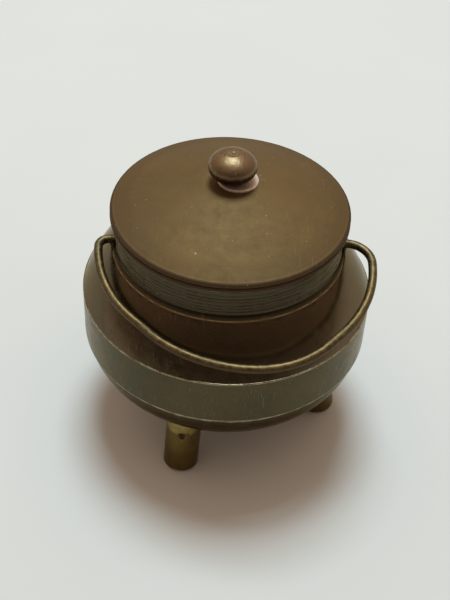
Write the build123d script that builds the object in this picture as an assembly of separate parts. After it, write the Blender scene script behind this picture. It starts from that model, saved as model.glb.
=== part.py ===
"""A small three-legged lidded pot of turned brass with a wire bail.

Frame: +Z up, the origin on the pot's own axis on the surface that it stands on. The bail's
pivot runs along X, and the bail lies folded down towards -Y.
"""
from build123d import *
import math
import os

# ---------------------------------------------------------------- driving sizes, in mm
# Body, from the floor upwards
SEAM_HEIGHT = 31.6          # floor to the seam between the bowl and the band
BAND_HEIGHT = 14.5
SHOULDER_HEIGHT = 14.0
NECK_HEIGHT = 10.1
BELLY_RADIUS = 40.15
BAND_THICKNESS = 1.8
SHOULDER_STEP = 0.25        # how far the band stands out from the shoulder
BOWL_STEP = 0.7             # how far the band stands out from the bowl
BAND_TOP_BEVEL = 0.15
SEAM_BEVEL = 0.3            # on the band and on the bowl, so that the seam is a groove
NECK_RADIUS = 30.5
NECK_WALL = 2.0
NECK_FLARE = 1.1            # how far the root of the neck spreads
NECK_FLARE_HEIGHT = 1.4
NECK_FLARE_SAG = 0.15       # how far the flare is hollowed
RIM_LIP = 0.4               # how far the lip at the rim stands out
RIM_LIP_HEIGHT = 1.0
RIM_LIP_BEVEL = 0.2
SHOULDER_BULGE = 0.4
SHELL_WALL = 2.0
SKIRT_HEIGHT = 3.0          # how far the shoulder and the bowl reach into the band
SKIRT_WALL = 1.55
BOWL_DEPTH = 21.4
BOWL_SIDE = 12.8            # radius of the bowl's turn below the seam
SOLDER_GAP = 0.05           # between pieces that are soldered or riveted together

# Lid
LID_OVERHANG = 1.5          # beyond the outside of the neck
LID_EDGE = 2.6
LID_RISE = 7.7              # top of the edge up to the flat that the knob stands on
LID_BULGE = 0.45
LID_WALL = 2.0
LID_EDGE_ROUND = 0.9
LID_UNDER_BEVEL = 0.35
LID_LEDGE = 0.95            # flat under the lid, inside the locating ring
LID_HOLLOW_STEP = 3.0       # how far the hollow rises straight up from that flat
LID_HOLLOW_DRAFT = 0.5
RING_HEIGHT = 3.4
RING_WALL = 1.8
RING_BEVEL = 0.4
RING_CLEARANCE = 0.35       # round the locating ring, inside the neck

# Knob
KNOB_RADIUS = 6.4
KNOB_HEIGHT = 8.3
KNOB_STEM_RADIUS = 2.7
KNOB_STEM_HEIGHT = 0.9
KNOB_UNDERCUT = 0.1         # how far the ball's own bottom would lie below the collar's top
COLLAR_RADIUS = 5.5
COLLAR_THICKNESS = 0.7
COLLAR_BEVEL = 0.25
COLLAR_MARGIN = 0.3         # flat of the lid outside the collar
COLLAR_OFFSET = 1.6         # from the middle of the collar to its bore, which was punched off centre
COLLAR_DIRECTION = 12.0
RIVET_RADIUS = 1.25
RIVET_CLEARANCE = 0.05
RIVET_TOP_RADIUS = 1.65
RIVET_TOP_HEIGHT = 0.35
RIVET_FOOT_RADIUS = 2.1
RIVET_FOOT_HEIGHT = 0.7
BURR_RADIUS = 3.6
BURR_THICKNESS = 0.9

# Feet
FOOT_RADIUS = 5.0
FOOT_INSET = 9.75           # from the bowl's side in to the middle of a foot's end
FOOT_LEAN = 9.0             # degrees, outwards as the foot goes down
FOOT_BEVEL = 0.5
FOOT_TENON_RADIUS = 2.0
FOOT_HEAD_RADIUS = 2.8
FOOT_HEAD_HEIGHT = 0.8
FOOT_BURR_RADIUS = 3.9
FOOT_BURR_THICKNESS = 1.6
FOOT_DIRECTIONS = {"front": -114.0, "right": -7.0, "rear": 120.0}

# Bail
WIRE_RADIUS = 1.18
PIVOT_RISE = 0.1            # above the root of the neck
PIVOT_CLEARANCE = 0.07      # round the wire, in its bore
WIRE_END_INSIDE = 1.6       # how far the wire stands into the neck
BAIL_OVER_KNOB = 12.5       # from the knob's top to the crown's middle, with the bail upright
BAIL_LEFT_OUT = 3.2         # the widest place on each side, beyond the lid
BAIL_RIGHT_OUT = 6.7
BAIL_LEFT_BEND = 2.6
BAIL_RIGHT_BEND = 6.8
BAIL_CROWN_OFFSET = 6.4     # the crown stands this far to the right
BAIL_HAUNCH = 5.0           # straight run half way up each side
BAIL_REST_CLEARANCE = 0.2   # wire to shoulder when the bail is folded

# ---------------------------------------------------------------- sizes that follow
BAND_TOP = SEAM_HEIGHT + BAND_HEIGHT
NECK_ROOT = BAND_TOP + SHOULDER_HEIGHT
RIM = NECK_ROOT + NECK_HEIGHT
SHOULDER_RADIUS = BELLY_RADIUS - SHOULDER_STEP
BOWL_RADIUS = BELLY_RADIUS - BOWL_STEP
BAND_BORE = BELLY_RADIUS - BAND_THICKNESS
SKIRT_RADIUS = BAND_BORE - SOLDER_GAP
SKIRT_BORE = SKIRT_RADIUS - SKIRT_WALL
NECK_BORE = NECK_RADIUS - NECK_WALL
ROOT_RADIUS = NECK_RADIUS + NECK_FLARE
BOWL_INNER_DEPTH = BOWL_DEPTH - SHELL_WALL
BOWL_INNER_SIDE = BOWL_SIDE - SHELL_WALL
LID_RADIUS = NECK_RADIUS + LID_OVERHANG
LID_EDGE_TOP = RIM + LID_EDGE
LID_TOP = LID_EDGE_TOP + LID_RISE
SEAT_RADIUS = COLLAR_RADIUS + COLLAR_OFFSET + COLLAR_MARGIN
RING_RADIUS = NECK_BORE - RING_CLEARANCE
RING_BORE = RING_RADIUS - RING_WALL
LID_HOLLOW_RADIUS = RING_BORE - LID_LEDGE
LID_HOLLOW_TOP = LID_TOP - LID_WALL
KNOB_BASE = LID_TOP + COLLAR_THICKNESS
KNOB_TOP = KNOB_BASE + KNOB_HEIGHT
RIVET_BORE = RIVET_RADIUS + RIVET_CLEARANCE
BURR_BASE = LID_HOLLOW_TOP - BURR_THICKNESS
FOOT_CIRCLE = BOWL_RADIUS - FOOT_INSET
PIVOT_HEIGHT = NECK_ROOT + PIVOT_RISE
PIVOT_BORE = WIRE_RADIUS + PIVOT_CLEARANCE
BAIL_REACH = KNOB_TOP - PIVOT_HEIGHT + BAIL_OVER_KNOB
BAIL_LEFT = LID_RADIUS + BAIL_LEFT_OUT
BAIL_RIGHT = LID_RADIUS + BAIL_RIGHT_OUT
DIAGONAL = math.sqrt(0.5)
ON_BASE = (Align.CENTER, Align.CENTER, Align.MIN)


# ---------------------------------------------------------------- helpers
def turned(outline):
    """Revolve a closed outline, drawn in the XZ plane, about the pot's axis."""
    return revolve(make_face(outline), Axis.Z)


def at(radius, height):
    """A point of a turned outline."""
    return (radius, 0, height)


def bowed(start, end, bulge):
    """An arc from start to end that stands out from its chord by bulge, away from the axis."""
    run = end[0] - start[0]
    drop = start[2] - end[2]
    chord = math.hypot(run, drop)
    middle = at((start[0] + end[0]) / 2 + bulge * drop / chord,
                (start[2] + end[2]) / 2 + bulge * run / chord)
    return ThreePointArc(start, middle, end)


def disc(radius, height, base):
    """A cylinder on the pot's axis that stands on the height base."""
    return Pos(0, 0, base) * Cylinder(radius, height, align=ON_BASE)


def floor_radius(radius, depth, side):
    """The radius of the arc that closes a bowl of that radius and depth, tangent to its side."""
    return (radius ** 2 + depth ** 2 - 2 * radius * side) / (2 * (depth - side))


def bowl_meeting(radius, depth, side):
    """Where a bowl's side arc runs into its floor arc, as (radius, depth below the seam)."""
    large = floor_radius(radius, depth, side)
    centre_depth = depth - large
    share = large / (large - side)
    return ((radius - side) * share, centre_depth * (1 - share))


def bowl_arcs(radius, depth, side):
    """The floor arc and the side arc of a bowl's outline, from the axis up to the seam."""
    large = floor_radius(radius, depth, side)
    meeting = bowl_meeting(radius, depth, side)
    turn = math.atan2(meeting[0], large - depth + meeting[1])
    on_floor = (large * math.sin(turn / 2), large - depth - large * math.cos(turn / 2))
    on_side = (radius - side + side * math.sin(turn / 2 + math.pi / 4),
               -side * math.cos(turn / 2 + math.pi / 4))
    corner = (meeting[0], -meeting[1])
    return ThreePointArc((0, -depth), on_floor, corner) + ThreePointArc(corner, on_side, (radius, 0))


def bowl_form(radius, depth, side):
    """The solid below the seam with a bowl's rounded underside."""
    lid_line = Polyline((radius, 0), (0, 0), (0, -depth))
    return Pos(0, 0, SEAM_HEIGHT) * turned(Plane.XZ * (bowl_arcs(radius, depth, side) + lid_line))


# ---------------------------------------------------------------- body
def neck_shoulder():
    """The neck, the root that flares from it and the shoulder, with a skirt inside the band."""
    slope = math.hypot(SHOULDER_RADIUS - ROOT_RADIUS, SHOULDER_HEIGHT)
    along = (SHOULDER_RADIUS - ROOT_RADIUS) / slope
    down = SHOULDER_HEIGHT / slope
    inner_radius = ROOT_RADIUS - SHELL_WALL * down
    inner_height = NECK_ROOT - SHELL_WALL * along
    bore_end = inner_height + (inner_radius - NECK_BORE) * down / along
    skirt_end = inner_height - (SKIRT_BORE - inner_radius) * down / along
    lip = NECK_RADIUS + RIM_LIP
    under_lip = RIM - RIM_LIP_HEIGHT
    flare_top = at(NECK_RADIUS, NECK_ROOT + NECK_FLARE_HEIGHT)
    root = at(ROOT_RADIUS, NECK_ROOT)
    edge = at(SHOULDER_RADIUS, BAND_TOP)
    outside = Polyline(at(NECK_BORE, RIM), at(lip - RIM_LIP_BEVEL, RIM), at(lip, RIM - RIM_LIP_BEVEL),
                       at(lip, under_lip), at(NECK_RADIUS, under_lip - RIM_LIP), flare_top)
    flare = bowed(flare_top, root, -NECK_FLARE_SAG)
    shoulder = bowed(root, edge, SHOULDER_BULGE)
    skirt_foot = BAND_TOP - SKIRT_HEIGHT
    inside = Polyline(edge, at(SKIRT_RADIUS, BAND_TOP), at(SKIRT_RADIUS, skirt_foot),
                      at(SKIRT_BORE, skirt_foot), at(SKIRT_BORE, skirt_end),
                      at(NECK_BORE, bore_end), at(NECK_BORE, RIM))
    return turned(outside + flare + shoulder + inside) - pivot_bore()


def pivot_bore():
    """One straight bore through both sides of the neck, for the bail's ends."""
    return Pos(0, 0, PIVOT_HEIGHT) * Rot(0, 90, 0) * Cylinder(PIVOT_BORE, 2 * BELLY_RADIUS)


def belly_band():
    """The plain ring round the belly, bevelled above and below."""
    outline = Polyline(at(BAND_BORE, SEAM_HEIGHT), at(BELLY_RADIUS - SEAM_BEVEL, SEAM_HEIGHT),
                       at(BELLY_RADIUS, SEAM_HEIGHT + SEAM_BEVEL),
                       at(BELLY_RADIUS, BAND_TOP - BAND_TOP_BEVEL),
                       at(BELLY_RADIUS - BAND_TOP_BEVEL, BAND_TOP), at(BAND_BORE, BAND_TOP),
                       at(BAND_BORE, SEAM_HEIGHT))
    return turned(outline)


def lower_bowl():
    """The round bottom, with a skirt inside the band and a hole for each foot's tenon."""
    skirt = Polyline((SKIRT_RADIUS, 0), (SKIRT_RADIUS, SKIRT_HEIGHT), (SKIRT_BORE, SKIRT_HEIGHT),
                     (SKIRT_BORE, 0), (SKIRT_RADIUS, 0))
    bowl = bowl_form(BOWL_RADIUS, BOWL_DEPTH, BOWL_SIDE)
    bowl -= bowl_form(SKIRT_BORE, BOWL_INNER_DEPTH, BOWL_INNER_SIDE)
    bowl += Pos(0, 0, SEAM_HEIGHT) * turned(Plane.XZ * skirt)
    outer = BOWL_RADIUS + SEAM_BEVEL
    ridge = Polyline((outer, SEAM_BEVEL), (BOWL_RADIUS - 2 * SEAM_BEVEL, SEAM_BEVEL),
                     (outer, -2 * SEAM_BEVEL), (outer, SEAM_BEVEL))
    bowl -= Pos(0, 0, SEAM_HEIGHT) * turned(Plane.XZ * ridge)
    for direction in FOOT_DIRECTIONS.values():
        bore = Cylinder(FOOT_TENON_RADIUS + SOLDER_GAP, 2 * SEAM_HEIGHT)
        bowl -= foot_axis(direction) * bore
    return bowl


# ---------------------------------------------------------------- lid
def lid_plate():
    """The low domed lid: a thick edge, a flat on top for the knob and a hollow underneath."""
    corner = LID_EDGE_ROUND
    cut = corner * (1 - DIAGONAL)
    side_top = at(LID_RADIUS, LID_EDGE_TOP - corner)
    dome_edge = at(LID_RADIUS - corner, LID_EDGE_TOP)
    seat_edge = at(SEAT_RADIUS, LID_TOP)
    hollow_edge = at(LID_HOLLOW_RADIUS - LID_HOLLOW_DRAFT, RIM + LID_HOLLOW_STEP)
    hollow_middle = at(SEAT_RADIUS, LID_HOLLOW_TOP)
    side_foot = at(LID_RADIUS, RIM + LID_UNDER_BEVEL)
    side = Line(side_foot, side_top)
    edge_round = ThreePointArc(side_top, at(LID_RADIUS - cut, LID_EDGE_TOP - cut), dome_edge)
    dome = bowed(seat_edge, dome_edge, LID_BULGE)
    middle = Polyline(seat_edge, at(0, LID_TOP), at(0, LID_HOLLOW_TOP), hollow_middle)
    hollow = bowed(hollow_middle, hollow_edge, LID_BULGE)
    rest = Polyline(hollow_edge, at(LID_HOLLOW_RADIUS, RIM), at(LID_RADIUS - LID_UNDER_BEVEL, RIM),
                    side_foot)
    plate = turned(side + edge_round + dome + middle + hollow + rest)
    return plate - rivet_bore()


def rivet_bore():
    """The bore that runs through the knob, its collar and the lid."""
    return disc(RIVET_BORE, KNOB_TOP - RIM, RIM)


def lid_locating_ring():
    """The ring under the lid that keeps it centred in the neck."""
    foot = RIM - RING_HEIGHT
    outline = Polyline(at(RING_BORE, RIM), at(RING_BORE, foot), at(RING_RADIUS - RING_BEVEL, foot),
                       at(RING_RADIUS, foot + RING_BEVEL), at(RING_RADIUS, RIM),
                       at(RING_BORE, RIM))
    return turned(outline)


def knob():
    """The flattened ball knob on its short stem, bored for the rivet."""
    half = (KNOB_HEIGHT + KNOB_UNDERCUT) / 2
    arc = EllipticalCenterArc((0, 0), KNOB_RADIUS, half, start_angle=-90, arc_size=180)
    ball = Pos(0, 0, KNOB_TOP - half) * turned(Plane.XZ * (arc + Line((0, half), (0, -half))))
    ball -= disc(2 * KNOB_RADIUS, KNOB_HEIGHT, KNOB_BASE - KNOB_HEIGHT)
    stem = disc(KNOB_STEM_RADIUS, KNOB_STEM_HEIGHT, KNOB_BASE)
    countersink = disc(RIVET_TOP_RADIUS + RIVET_CLEARANCE, KNOB_HEIGHT, KNOB_TOP - RIVET_TOP_HEIGHT)
    return ball + stem - rivet_bore() - countersink


def knob_collar():
    """The thin washer between the knob and the lid."""
    collar = disc(COLLAR_RADIUS, COLLAR_THICKNESS, LID_TOP)
    collar = chamfer(collar.edges().sort_by(Axis.Z)[-1], COLLAR_BEVEL)
    return Rot(0, 0, COLLAR_DIRECTION) * Pos(COLLAR_OFFSET, 0, 0) * collar - rivet_bore()


def knob_rivet():
    """The rivet through knob, collar and lid, its upper end filed into the knob's top."""
    shank = disc(RIVET_RADIUS, KNOB_TOP - BURR_BASE, BURR_BASE)
    top = disc(RIVET_TOP_RADIUS, RIVET_TOP_HEIGHT, KNOB_TOP - RIVET_TOP_HEIGHT)
    foot_head = disc(RIVET_FOOT_RADIUS, RIVET_FOOT_HEIGHT, BURR_BASE - RIVET_FOOT_HEIGHT)
    return shank + top + foot_head


def knob_burr():
    """The washer that the rivet is closed over, under the lid."""
    burr = disc(BURR_RADIUS, BURR_THICKNESS, BURR_BASE)
    return burr - rivet_bore()


# ---------------------------------------------------------------- feet
def foot_axis(direction):
    """The place of a foot: its own Z is its axis, and its origin is its end on the floor."""
    return Rot(0, 0, direction) * Pos(FOOT_CIRCLE, 0, 0) * Rot(0, -FOOT_LEAN, 0)


def wall_height(radius, depth, side):
    """How far up a foot's axis it comes to the surface of a bowl of that form."""
    lean = math.radians(FOOT_LEAN)
    large = floor_radius(radius, depth, side)
    meeting = bowl_meeting(radius, depth, side)
    low = 0.0
    high = SEAM_HEIGHT
    for _ in range(50):
        middle = (low + high) / 2
        out = FOOT_CIRCLE - middle * math.sin(lean)
        if out < meeting[0]:
            surface = math.sqrt(large ** 2 - out ** 2) - large + depth
        else:
            surface = math.sqrt(max(side ** 2 - (out - radius + side) ** 2, 0))
        if middle * math.cos(lean) < SEAM_HEIGHT - surface:
            low = middle
        else:
            high = middle
    return low


def foot(direction):
    """A round peg that meets the bowl, with its tenon through the wall closed over a burr."""
    place = foot_axis(direction)
    saddle = wall_height(BOWL_RADIUS, BOWL_DEPTH, BOWL_SIDE) + 1.5 * FOOT_RADIUS
    burr_top = inner_wall_height() + FOOT_BURR_THICKNESS
    peg = Cylinder(FOOT_RADIUS, saddle, align=ON_BASE)
    peg = chamfer(peg.edges().sort_by(Axis.Z)[0], FOOT_BEVEL)
    gap = SOLDER_GAP
    peg = place * peg - bowl_form(BOWL_RADIUS + gap, BOWL_DEPTH + gap, BOWL_SIDE + gap)
    tenon = Cylinder(FOOT_TENON_RADIUS, burr_top - FOOT_RADIUS, align=ON_BASE)
    head = Cylinder(FOOT_HEAD_RADIUS, FOOT_HEAD_HEIGHT, align=ON_BASE)
    shank = place * Pos(0, 0, FOOT_RADIUS) * tenon + place * Pos(0, 0, burr_top) * head
    below_floor = disc(2 * BELLY_RADIUS, FOOT_RADIUS, -FOOT_RADIUS)
    return lowest_solid(peg) + shank - below_floor


def lowest_solid(shape):
    """The lowest of the solids that a cut left."""
    return shape.solids().sort_by(Axis.Z)[0]


def inner_wall_height():
    """How far up a foot's axis the inside of the bowl lies."""
    return wall_height(SKIRT_BORE, BOWL_INNER_DEPTH, BOWL_INNER_SIDE)


def foot_burr(direction):
    """The washer inside the bowl, seated on its wall."""
    place = foot_axis(direction)
    blank = Cylinder(FOOT_BURR_RADIUS, FOOT_BURR_RADIUS + FOOT_BURR_THICKNESS, align=ON_BASE)
    blank = place * Pos(0, 0, inner_wall_height() - FOOT_BURR_RADIUS) * blank
    gap = SOLDER_GAP
    inside = bowl_form(SKIRT_BORE - gap, BOWL_INNER_DEPTH - gap, BOWL_INNER_SIDE - gap)
    return (blank & inside) - place * Cylinder(FOOT_TENON_RADIUS + gap, 3 * SEAM_HEIGHT)


# ---------------------------------------------------------------- bail
def quarter_radii(width, height):
    """The side and crown radii of a quarter turn with a straight run across its corner."""
    rest = 1 - DIAGONAL
    wide = width - DIAGONAL * BAIL_HAUNCH
    tall = height - DIAGONAL * BAIL_HAUNCH
    scale = DIAGONAL ** 2 - rest ** 2
    return (DIAGONAL * tall - rest * wide) / scale, (DIAGONAL * wide - rest * tall) / scale


def bail_side(sign, widest, bend):
    """One half of the bail's line, level with its crown towards -Y, from its end to its crown."""
    offset = sign * BAIL_CROWN_OFFSET
    side, top = quarter_radii(widest - offset, BAIL_REACH - bend)
    centre = widest - side
    haunch = (centre + side * DIAGONAL, bend + side * DIAGONAL)
    upper = (haunch[0] - DIAGONAL * BAIL_HAUNCH, haunch[1] + DIAGONAL * BAIL_HAUNCH)
    eighth = math.radians(22.5)
    cut = bend * (1 - DIAGONAL)
    points = [
        (NECK_BORE - WIRE_END_INSIDE, 0), (widest - bend, 0), (widest - cut, cut), (widest, bend),
        (centre + side * math.cos(eighth), bend + side * math.sin(eighth)), haunch, upper,
        (offset + top * math.sin(eighth), BAIL_REACH - top * (1 - math.cos(eighth))),
        (offset, BAIL_REACH),
    ]
    end, turn, turn_middle, rise, side_middle, haunch, upper, top_middle, crown = [
        (sign * out, -along, 0) for out, along in points]
    return [Line(end, turn), ThreePointArc(turn, turn_middle, rise),
            ThreePointArc(rise, side_middle, haunch), Line(haunch, upper),
            ThreePointArc(upper, top_middle, crown)]


def bail_path():
    """The whole of the bail's line, as one wire."""
    runs = bail_side(-1, BAIL_LEFT, BAIL_LEFT_BEND) + bail_side(1, BAIL_RIGHT, BAIL_RIGHT_BEND)
    return Wire([edge for run in runs for edge in run.edges()])


def shoulder_surface(radius):
    """The height of the shoulder at a radius, from its chord and its bulge."""
    width = SHOULDER_RADIUS - ROOT_RADIUS
    share = (radius - ROOT_RADIUS) / width
    bulge = SHOULDER_BULGE * math.hypot(width, SHOULDER_HEIGHT) / width
    return NECK_ROOT - SHOULDER_HEIGHT * share + bulge * 4 * share * (1 - share)


def rest_angle(path):
    """How far below level the bail folds before its wire comes to the shoulder, in degrees."""
    width = SHOULDER_RADIUS - ROOT_RADIUS
    room = (WIRE_RADIUS + BAIL_REST_CLEARANCE) * math.hypot(width, SHOULDER_HEIGHT) / width
    samples = 200
    places = [path.position_at(step / samples) for step in range(samples + 1)]
    free = [place for place in places if -place.Y > BAIL_LEFT_BEND]
    step = 0.1
    angle = 0.0
    while angle < 60:
        turn = math.radians(angle + step)
        for place in free:
            radius = math.hypot(place.X, place.Y * math.cos(turn))
            height = PIVOT_HEIGHT + place.Y * math.sin(turn)
            if ROOT_RADIUS < radius < SHOULDER_RADIUS and height - shoulder_surface(radius) < room:
                return angle
        angle += step
    return angle


def bail():
    """The bent wire, folded down onto the shoulder, its ends in the neck's bores."""
    path = bail_path()
    section = Plane(origin=path.position_at(0), z_dir=path.tangent_at(0)) * Circle(WIRE_RADIUS)
    angle = rest_angle(path)
    print("bail folds", round(angle, 1), "degrees below level, pivot at", round(PIVOT_HEIGHT, 2))
    return Pos(0, 0, PIVOT_HEIGHT) * Rot(angle, 0, 0) * sweep(section, path=path)


# ---------------------------------------------------------------- write the pieces
def pieces():
    """Every piece by its name."""
    made = {
        "neck_shoulder": neck_shoulder(),
        "belly_band": belly_band(),
        "lower_bowl": lower_bowl(),
        "lid_plate": lid_plate(),
        "lid_locating_ring": lid_locating_ring(),
        "knob": knob(),
        "knob_collar": knob_collar(),
        "knob_rivet": knob_rivet(),
        "knob_burr": knob_burr(),
        "bail": bail(),
    }
    for name, direction in FOOT_DIRECTIONS.items():
        made["foot_" + name] = foot(direction)
        made["foot_burr_" + name] = foot_burr(direction)
    return made


os.makedirs("parts", exist_ok=True)
for piece_name, solid in pieces().items():
    export_step(solid, "parts/" + piece_name + ".step")
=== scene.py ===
"""The looks of a miniature turned-brass pot: lid, wire bail and three feet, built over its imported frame."""
import math

import bmesh
import bpy
from mathutils import Matrix, Vector, noise

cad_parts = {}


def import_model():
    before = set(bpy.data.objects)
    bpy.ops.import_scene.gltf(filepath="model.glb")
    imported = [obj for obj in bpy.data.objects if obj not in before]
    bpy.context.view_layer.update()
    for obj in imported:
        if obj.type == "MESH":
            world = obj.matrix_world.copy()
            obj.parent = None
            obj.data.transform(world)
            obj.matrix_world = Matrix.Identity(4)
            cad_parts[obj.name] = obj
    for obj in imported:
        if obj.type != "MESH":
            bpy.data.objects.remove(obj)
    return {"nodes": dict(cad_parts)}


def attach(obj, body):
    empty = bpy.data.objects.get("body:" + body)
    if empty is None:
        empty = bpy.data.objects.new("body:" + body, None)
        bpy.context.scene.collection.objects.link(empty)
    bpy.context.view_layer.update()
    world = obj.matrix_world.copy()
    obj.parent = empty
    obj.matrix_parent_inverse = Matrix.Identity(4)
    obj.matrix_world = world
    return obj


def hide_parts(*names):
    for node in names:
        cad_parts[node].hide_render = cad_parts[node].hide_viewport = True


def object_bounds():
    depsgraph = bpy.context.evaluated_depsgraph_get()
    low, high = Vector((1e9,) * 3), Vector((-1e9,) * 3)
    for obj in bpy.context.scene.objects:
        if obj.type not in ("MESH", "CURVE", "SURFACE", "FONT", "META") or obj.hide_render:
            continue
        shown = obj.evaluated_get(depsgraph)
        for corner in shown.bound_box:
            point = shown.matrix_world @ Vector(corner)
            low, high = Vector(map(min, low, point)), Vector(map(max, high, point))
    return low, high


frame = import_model()
CAD_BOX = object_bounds()

MM = 0.001

# ---------------------------------------------------------------- sizes of the part, in mm
SEAM, BAND_TOP, NECK_ROOT, RIM = 31.6, 46.1, 60.1, 70.2
BELLY_RADIUS, SHOULDER_RADIUS, BOWL_RADIUS = 40.15, 39.9, 39.45
BAND_BORE, SKIRT_RADIUS, SKIRT_BORE, SKIRT_HEIGHT = 38.35, 38.3, 36.75, 3.0
ROOT_RADIUS, NECK_RADIUS, NECK_BORE = 31.6, 30.5, 28.5
FLARE_TOP, LIP_RADIUS, LIP_HEIGHT, LIP_SLOPE = 61.5, 30.9, 1.0, 0.4
BAND_LOWER_BEVEL, BAND_UPPER_BEVEL = 0.3, 0.15
SHELL_WALL = 2.0
BOWL_DEPTH, BOWL_SIDE = 21.4, 12.8
LID_RADIUS, LID_EDGE_TOP, LID_TOP = 32.0, 72.8, 80.5
LID_EDGE_ROUND, LID_BULGE, SHOULDER_BULGE = 0.9, 0.45, 0.4
SEAT_RADIUS, LID_HOLLOW_RADIUS, LID_HOLLOW_TOP = 7.4, 25.4, 78.5
RING_RADIUS, RING_BORE, RING_FOOT = 28.15, 26.35, 66.8
COLLAR_RADIUS, COLLAR_OFFSET, COLLAR_DIRECTION = 5.5, 1.6, 12.0
KNOB_BASE, KNOB_TOP = 81.2, 89.5
KNOB_RADIUS, STEM_RADIUS, STEM_TOP = 6.4, 2.7, 82.1
RIVET_RADIUS, RIVET_BORE, RIVET_TOP_RADIUS = 1.25, 1.3, 1.65
BURR_RADIUS, BURR_BASE = 3.6, 77.6
FOOT_RADIUS, FOOT_CIRCLE, FOOT_LEAN = 5.0, 29.7, 9.0
FOOT_DIRECTIONS = {"front": -114.0, "right": -7.0, "rear": 120.0}
WIRE_RADIUS, PIVOT_HEIGHT, PIVOT_BORE = 1.18, 60.2, 1.25
BAIL_REACH, BAIL_LEFT, BAIL_RIGHT = 41.8, 35.2, 38.7
BAIL_LEFT_BEND, BAIL_RIGHT_BEND = 2.6, 6.8
BAIL_CROWN_OFFSET, BAIL_HAUNCH, BAIL_END = 6.4, 5.0, 26.9
BAIL_FOLD = 9.9
DIAGONAL = math.sqrt(0.5)
CRISP_ANGLE = math.radians(38)

# ---------------------------------------------------------------- marks of making and use, and the seam's painted highlight and shade, lengths in mm
RING_HEIGHTS = (62.35, 63.3, 64.35, 65.5, 66.55, 67.7)
RING_STANDS = (0.13, 0.08, 0.15, 0.11, 0.15, 0.09)
RING_WIDTH, GROOVE_WIDTH, GROOVE_DROP, GROOVE_SHARE = 0.11, 0.16, 0.30, 0.5
# Heights above the seam: painted shade below the first, painted highlight between the first and the second.
SEAM_HIGHLIGHT_FROM, SEAM_HIGHLIGHT_TO = 0.27, 0.65
NICK_ANGLE, NICK_SIZE, NICK_DEPTH = math.radians(-9), 0.7, 0.4
PUNCH_UP, PUNCH_SIDE = 12.9, Vector((-0.12, -0.97, 0.2)).normalized()
PUNCH_SIZE, PUNCH_DEPTH, PUNCH_DARK = 0.75, 0.6, 1.1
FOOT_MARKED_TO = 15.5


# ---------------------------------------------------------------- outlines
def bowed(start, end, bulge, steps):
    """Points from start to end along a shallow arc that stands out by bulge half way."""
    run, rise = end[0] - start[0], end[1] - start[1]
    length = math.hypot(run, rise)
    points = []
    for step in range(steps + 1):
        share = step / steps
        out = 4 * bulge * share * (1 - share) / length
        points.append((start[0] + run * share - rise * out, start[1] + rise * share + run * out))
    return points


def divided(start, end, pitch):
    """Points along a straight run, about pitch apart, without its two ends."""
    steps = max(1, round(math.dist(start, end) / pitch))
    return [(start[0] + (end[0] - start[0]) * step / steps,
             start[1] + (end[1] - start[1]) * step / steps) for step in range(1, steps)]


def softened(points, radius, turn=14.0, steps=3):
    """A closed outline with each corner rounded. Every point gets a value: 1 on a convex edge, shown bright
    as handled metal, and -1 in a hollow corner, which gets painted shade.
    """
    area = sum(a[0] * b[1] - b[0] * a[1] for a, b in zip(points, points[1:] + points[:1]))
    side = 1 if area > 0 else -1
    result = []
    for index, point in enumerate(points):
        before, after = points[index - 1], points[(index + 1) % len(points)]
        back = Vector(before) - Vector(point)
        ahead = Vector(after) - Vector(point)
        angle = math.degrees((-back).angle(ahead, 0))
        if angle < turn:
            result.append((point[0], point[1], 0.0))
            continue
        cross = (-back).x * ahead.y - (-back).y * ahead.x
        worn_and_painted_light = 1.0 if cross * side > 0 else -1.0
        reach = min(radius, 0.45 * back.length, 0.45 * ahead.length)
        first = Vector(point) + back.normalized() * reach
        last = Vector(point) + ahead.normalized() * reach
        for step in range(steps + 1):
            t = step / steps
            spot = first * (1 - t) ** 2 + Vector(point) * 2 * t * (1 - t) + last * t ** 2
            result.append((spot.x, spot.y, worn_and_painted_light))
    return result


def without_repeats(outline):
    """The outline without any point that lies on the one before it."""
    return [point for index, point in enumerate(outline)
            if math.dist(point[:2], outline[index - 1][:2]) > 1e-4]


def bowl_curve(radius, depth, side, steps):
    """The bowl's outline from its widest place at the seam to its middle, below height 0."""
    floor = (radius ** 2 + depth ** 2 - 2 * radius * side) / (2 * (depth - side))
    meeting = (radius - side) * floor / (floor - side)
    centre = radius - side
    end = math.acos((meeting - centre) / side)
    points = [(centre + side * math.cos(end * n / steps), -side * math.sin(end * n / steps))
              for n in range(steps)]
    for n in range(steps + 1):
        place = meeting * (1 - n / steps)
        points.append((place, floor - depth - math.sqrt(floor ** 2 - place ** 2)))
    return points


def bowl_height(radius, wall=0.0):
    """The height of the bowl's outside, or of its inside where wall is given, at a radius."""
    widest = SKIRT_BORE if wall else BOWL_RADIUS
    curve = bowl_curve(widest, BOWL_DEPTH - wall, BOWL_SIDE - wall, 60)
    for outer, inner in zip(curve, curve[1:]):
        if inner[0] <= radius <= outer[0]:
            share = (radius - inner[0]) / max(outer[0] - inner[0], 1e-9)
            return SEAM + inner[1] + (outer[1] - inner[1]) * share
    return SEAM


# ---------------------------------------------------------------- meshes
def finished(name, mesh, body, slot_name, material, *nodes):
    """Puts a mesh in the scene, smooth with crisp edges, on its body and with its material."""
    mesh.shade_smooth()
    mesh.set_sharp_from_angle(angle=CRISP_ANGLE)
    mesh.materials.clear()
    mesh.materials.append(material)
    piece = bpy.data.objects.new(name, mesh)
    bpy.context.scene.collection.objects.link(piece)
    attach(piece, body)
    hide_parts(*nodes)
    return piece


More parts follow.
